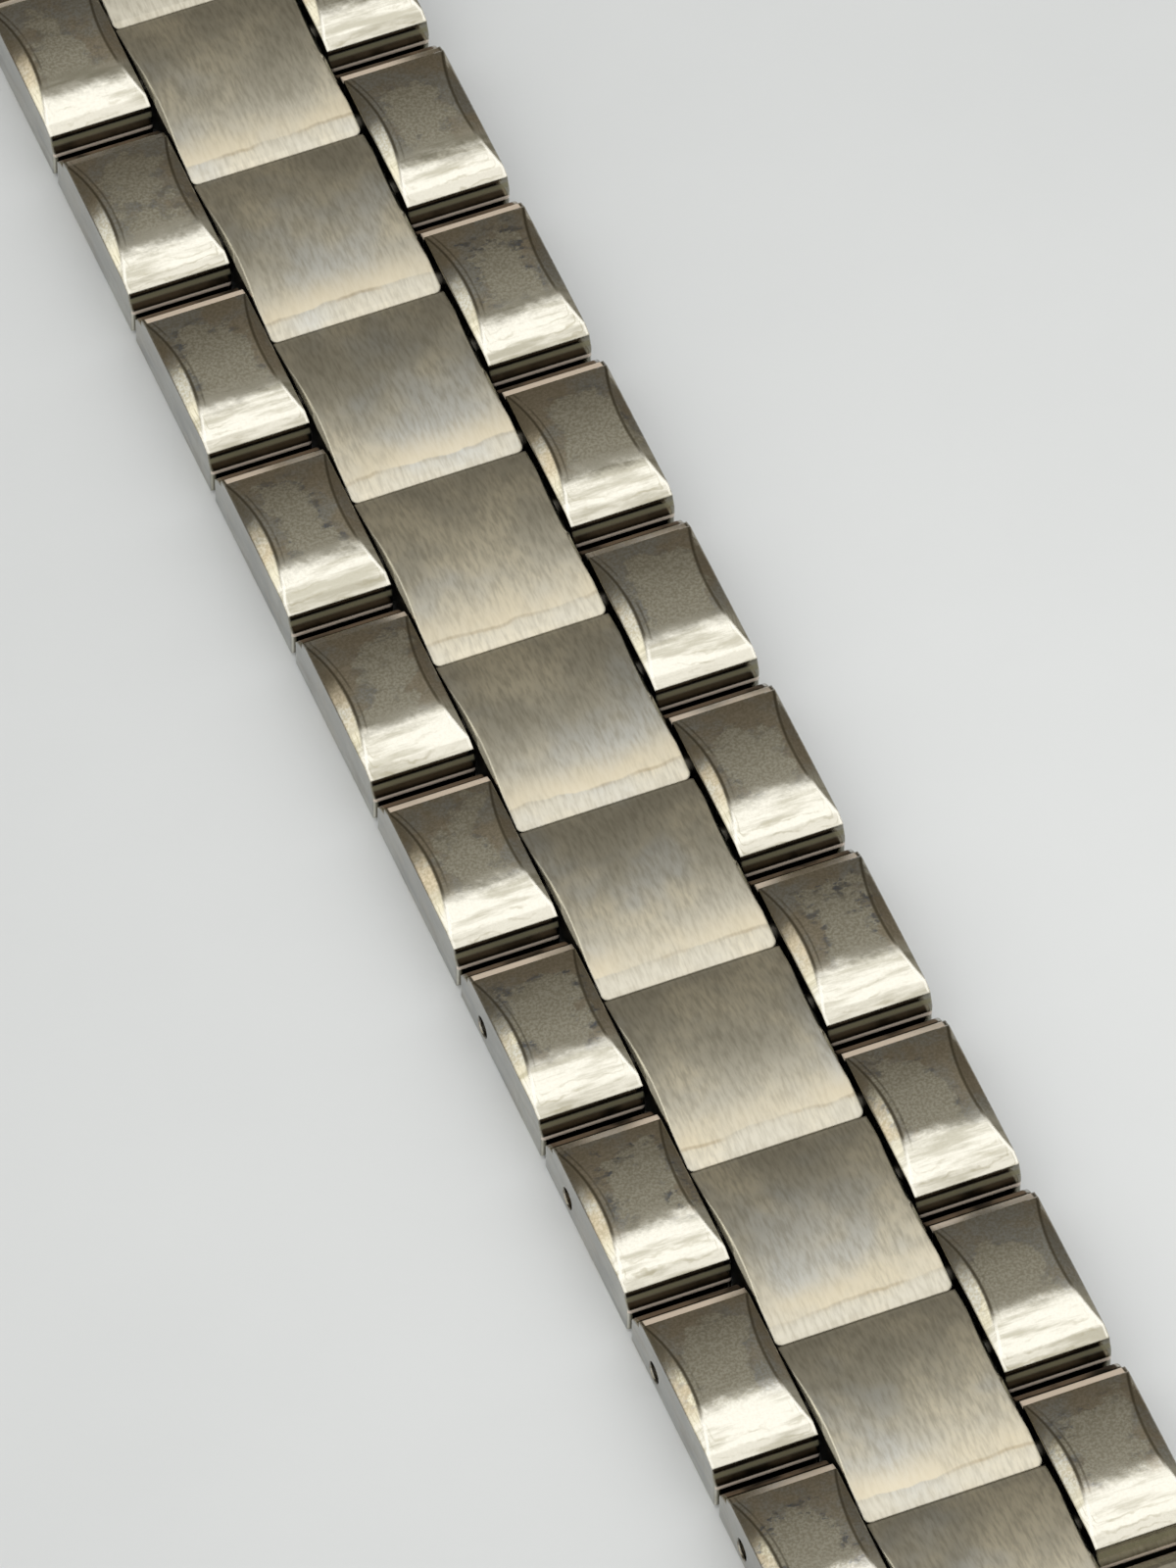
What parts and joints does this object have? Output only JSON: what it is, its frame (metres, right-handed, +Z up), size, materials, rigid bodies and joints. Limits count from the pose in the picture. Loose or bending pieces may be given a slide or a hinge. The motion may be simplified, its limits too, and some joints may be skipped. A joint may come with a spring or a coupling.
{
  "type": "steel watch bracelet",
  "caption": "Three-row steel watch band with arched polished side links, satin centre links, folding clasp and spring bar ends.",
  "frame": {"origin": "middle of the band's underside, on the table that it lies on", "axes": "+Y along the band towards the end of the long half, +Z up out of the links' arched tops, +X across"},
  "size_m": [0.0202, 0.178, 0.0042],
  "materials": {
    "polished_steel": "mirror polished stainless steel, worn",
    "satin_steel": "brushed lengthwise",
    "blade_steel": "plain rolled stainless steel",
    "pin_steel": "turned stainless steel",
    "spring_steel": "spring wire"
  },
  "bodies": {
    "clasp_cover": {"clasp_cover": "polished_steel", "clasp_cover_pin": "pin_steel", "clasp_bar_barrel": "pin_steel", "clasp_bar_spring": "spring_steel"},
    "clasp_upper_blade": {"clasp_upper_blade": "blade_steel"},
    "clasp_lower_blade": {"clasp_lower_blade": "blade_steel", "clasp_blade_pin": "pin_steel", "clasp_link_pin": "pin_steel"},
    "long_01": {"long_01_sides": "polished_steel", "long_01_centre": "satin_steel", "long_01_pins": "pin_steel"},
    "long_02": {"long_02_sides": "polished_steel", "long_02_centre": "satin_steel", "long_02_pins": "pin_steel"},
    "long_03": {"long_03_sides": "polished_steel", "long_03_centre": "satin_steel", "long_03_pins": "pin_steel"},
    "long_04": {"long_04_sides": "polished_steel", "long_04_centre": "satin_steel", "long_04_pins": "pin_steel"},
    "long_05": {"long_05_sides": "polished_steel", "long_05_centre": "satin_steel", "long_05_pins": "pin_steel"},
    "long_06": {"long_06_sides": "polished_steel", "long_06_centre": "satin_steel", "long_06_pins": "pin_steel"},
    "long_07": {"long_07_sides": "polished_steel", "long_07_centre": "satin_steel", "long_07_pins": "pin_steel"},
    "long_08": {"long_08_sides": "polished_steel", "long_08_centre": "satin_steel", "long_08_pins": "pin_steel"},
    "long_09": {"long_09_sides": "polished_steel", "long_09_centre": "satin_steel", "long_09_pins": "pin_steel"},
    "long_10": {"long_10_sides": "polished_steel", "long_10_centre": "satin_steel", "long_10_pins": "pin_steel"},
    "short_01": {"short_01_sides": "polished_steel", "short_01_centre": "satin_steel", "short_01_pins": "pin_steel"},
    "short_02": {"short_02_sides": "polished_steel", "short_02_centre": "satin_steel", "short_02_pins": "pin_steel"},
    "short_03": {"short_03_sides": "polished_steel", "short_03_centre": "satin_steel", "short_03_pins": "pin_steel"},
    "long_end": {"long_end_link": "polished_steel", "long_end_bar_barrel": "pin_steel", "long_end_bar_spring": "spring_steel"},
    "short_end": {"short_end_link": "polished_steel", "short_end_bar_barrel": "pin_steel", "short_end_bar_spring": "spring_steel"},
    "clasp_bar_left_tip": {"clasp_bar_left_tip": "pin_steel"},
    "clasp_bar_right_tip": {"clasp_bar_right_tip": "pin_steel"},
    "long_end_bar_left_tip": {"long_end_bar_left_tip": "pin_steel"},
    "long_end_bar_right_tip": {"long_end_bar_right_tip": "pin_steel"},
    "short_end_bar_left_tip": {"short_end_bar_left_tip": "pin_steel"},
    "short_end_bar_right_tip": {"short_end_bar_right_tip": "pin_steel"}
  },
  "joints": [
    {"name": "cover_hinge", "type": "hinge", "parent": "clasp_cover", "child": "clasp_upper_blade", "pos_m": [0, -0.02192, 0.00215], "axis": [1, 0, 0], "range_deg": [0, 105]},
    {"name": "blade_hinge", "type": "hinge", "parent": "clasp_upper_blade", "child": "clasp_lower_blade", "pos_m": [0, -0.04292, 0.0012], "axis": [-1, 0, 0], "range_deg": [0, 150]},
    {"name": "long_01_hinge", "type": "hinge", "parent": "clasp_lower_blade", "child": "long_01", "pos_m": [0, -0.01697, 0.001], "axis": [-1, 0, 0], "range_deg": [-5, 28]},
    {"name": "long_02_hinge", "type": "hinge", "parent": "long_01", "child": "long_02", "pos_m": [0, -0.00726, 0.001], "axis": [-1, 0, 0], "range_deg": [-5, 28]},
    {"name": "long_03_hinge", "type": "hinge", "parent": "long_02", "child": "long_03", "pos_m": [0, 0.00244, 0.001], "axis": [-1, 0, 0], "range_deg": [-5, 28]},
    {"name": "long_04_hinge", "type": "hinge", "parent": "long_03", "child": "long_04", "pos_m": [0, 0.01213, 0.001], "axis": [-1, 0, 0], "range_deg": [-5, 28]},
    {"name": "long_05_hinge", "type": "hinge", "parent": "long_04", "child": "long_05", "pos_m": [0, 0.02184, 0.001], "axis": [-1, 0, 0], "range_deg": [-5, 28]},
    {"name": "long_06_hinge", "type": "hinge", "parent": "long_05", "child": "long_06", "pos_m": [0, 0.03154, 0.001], "axis": [-1, 0, 0], "range_deg": [-5, 28]},
    {"name": "long_07_hinge", "type": "hinge", "parent": "long_06", "child": "long_07", "pos_m": [0, 0.04124, 0.001], "axis": [-1, 0, 0], "range_deg": [-5, 28]},
    {"name": "long_08_hinge", "type": "hinge", "parent": "long_07", "child": "long_08", "pos_m": [0, 0.05094, 0.001], "axis": [-1, 0, 0], "range_deg": [-5, 28]},
    {"name": "long_09_hinge", "type": "hinge", "parent": "long_08", "child": "long_09", "pos_m": [0, 0.06064, 0.001], "axis": [-1, 0, 0], "range_deg": [-5, 28]},
    {"name": "long_10_hinge", "type": "hinge", "parent": "long_09", "child": "long_10", "pos_m": [0, 0.07033, 0.001], "axis": [-1, 0, 0], "range_deg": [-5, 28]},
    {"name": "long_end_hinge", "type": "hinge", "parent": "long_10", "child": "long_end", "pos_m": [0, 0.08003, 0.001], "axis": [-1, 0, 0], "range_deg": [-5, 28]},
    {"name": "short_01_hinge", "type": "hinge", "parent": "clasp_cover", "child": "short_01", "pos_m": [0, -0.05094, 0.001], "axis": [1, 0, 0], "range_deg": [-5, 28]},
    {"name": "short_02_hinge", "type": "hinge", "parent": "short_01", "child": "short_02", "pos_m": [0, -0.06064, 0.001], "axis": [1, 0, 0], "range_deg": [-5, 28]},
    {"name": "short_03_hinge", "type": "hinge", "parent": "short_02", "child": "short_03", "pos_m": [0, -0.07033, 0.001], "axis": [1, 0, 0], "range_deg": [-5, 28]},
    {"name": "short_end_hinge", "type": "hinge", "parent": "short_03", "child": "short_end", "pos_m": [0, -0.08003, 0.001], "axis": [1, 0, 0], "range_deg": [-5, 28]},
    {"name": "clasp_bar_left_tip_slide", "type": "slide", "parent": "clasp_cover", "child": "clasp_bar_left_tip", "axis": [1, 0, 0], "range_m": [0, 0.0009], "stiffness_N_per_m": 500, "springref_m": -0.002, "deforming": ["clasp_bar_spring"]},
    {"name": "clasp_bar_right_tip_slide", "type": "slide", "parent": "clasp_cover", "child": "clasp_bar_right_tip", "axis": [-1, 0, 0], "range_m": [0, 0.0009], "stiffness_N_per_m": 500, "springref_m": -0.002, "deforming": ["clasp_bar_spring"]},
    {"name": "long_end_bar_left_tip_slide", "type": "slide", "parent": "long_end", "child": "long_end_bar_left_tip", "axis": [1, 0, 0], "range_m": [0, 0.0009], "stiffness_N_per_m": 500, "springref_m": -0.002, "deforming": ["long_end_bar_spring"]},
    {"name": "long_end_bar_right_tip_slide", "type": "slide", "parent": "long_end", "child": "long_end_bar_right_tip", "axis": [-1, 0, 0], "range_m": [0, 0.0009], "stiffness_N_per_m": 500, "springref_m": -0.002, "deforming": ["long_end_bar_spring"]},
    {"name": "short_end_bar_left_tip_slide", "type": "slide", "parent": "short_end", "child": "short_end_bar_left_tip", "axis": [-1, 0, 0], "range_m": [0, 0.0009], "stiffness_N_per_m": 500, "springref_m": -0.002, "deforming": ["short_end_bar_spring"]},
    {"name": "short_end_bar_right_tip_slide", "type": "slide", "parent": "short_end", "child": "short_end_bar_right_tip", "axis": [1, 0, 0], "range_m": [0, 0.0009], "stiffness_N_per_m": 500, "springref_m": -0.002, "deforming": ["short_end_bar_spring"]}
  ]
}
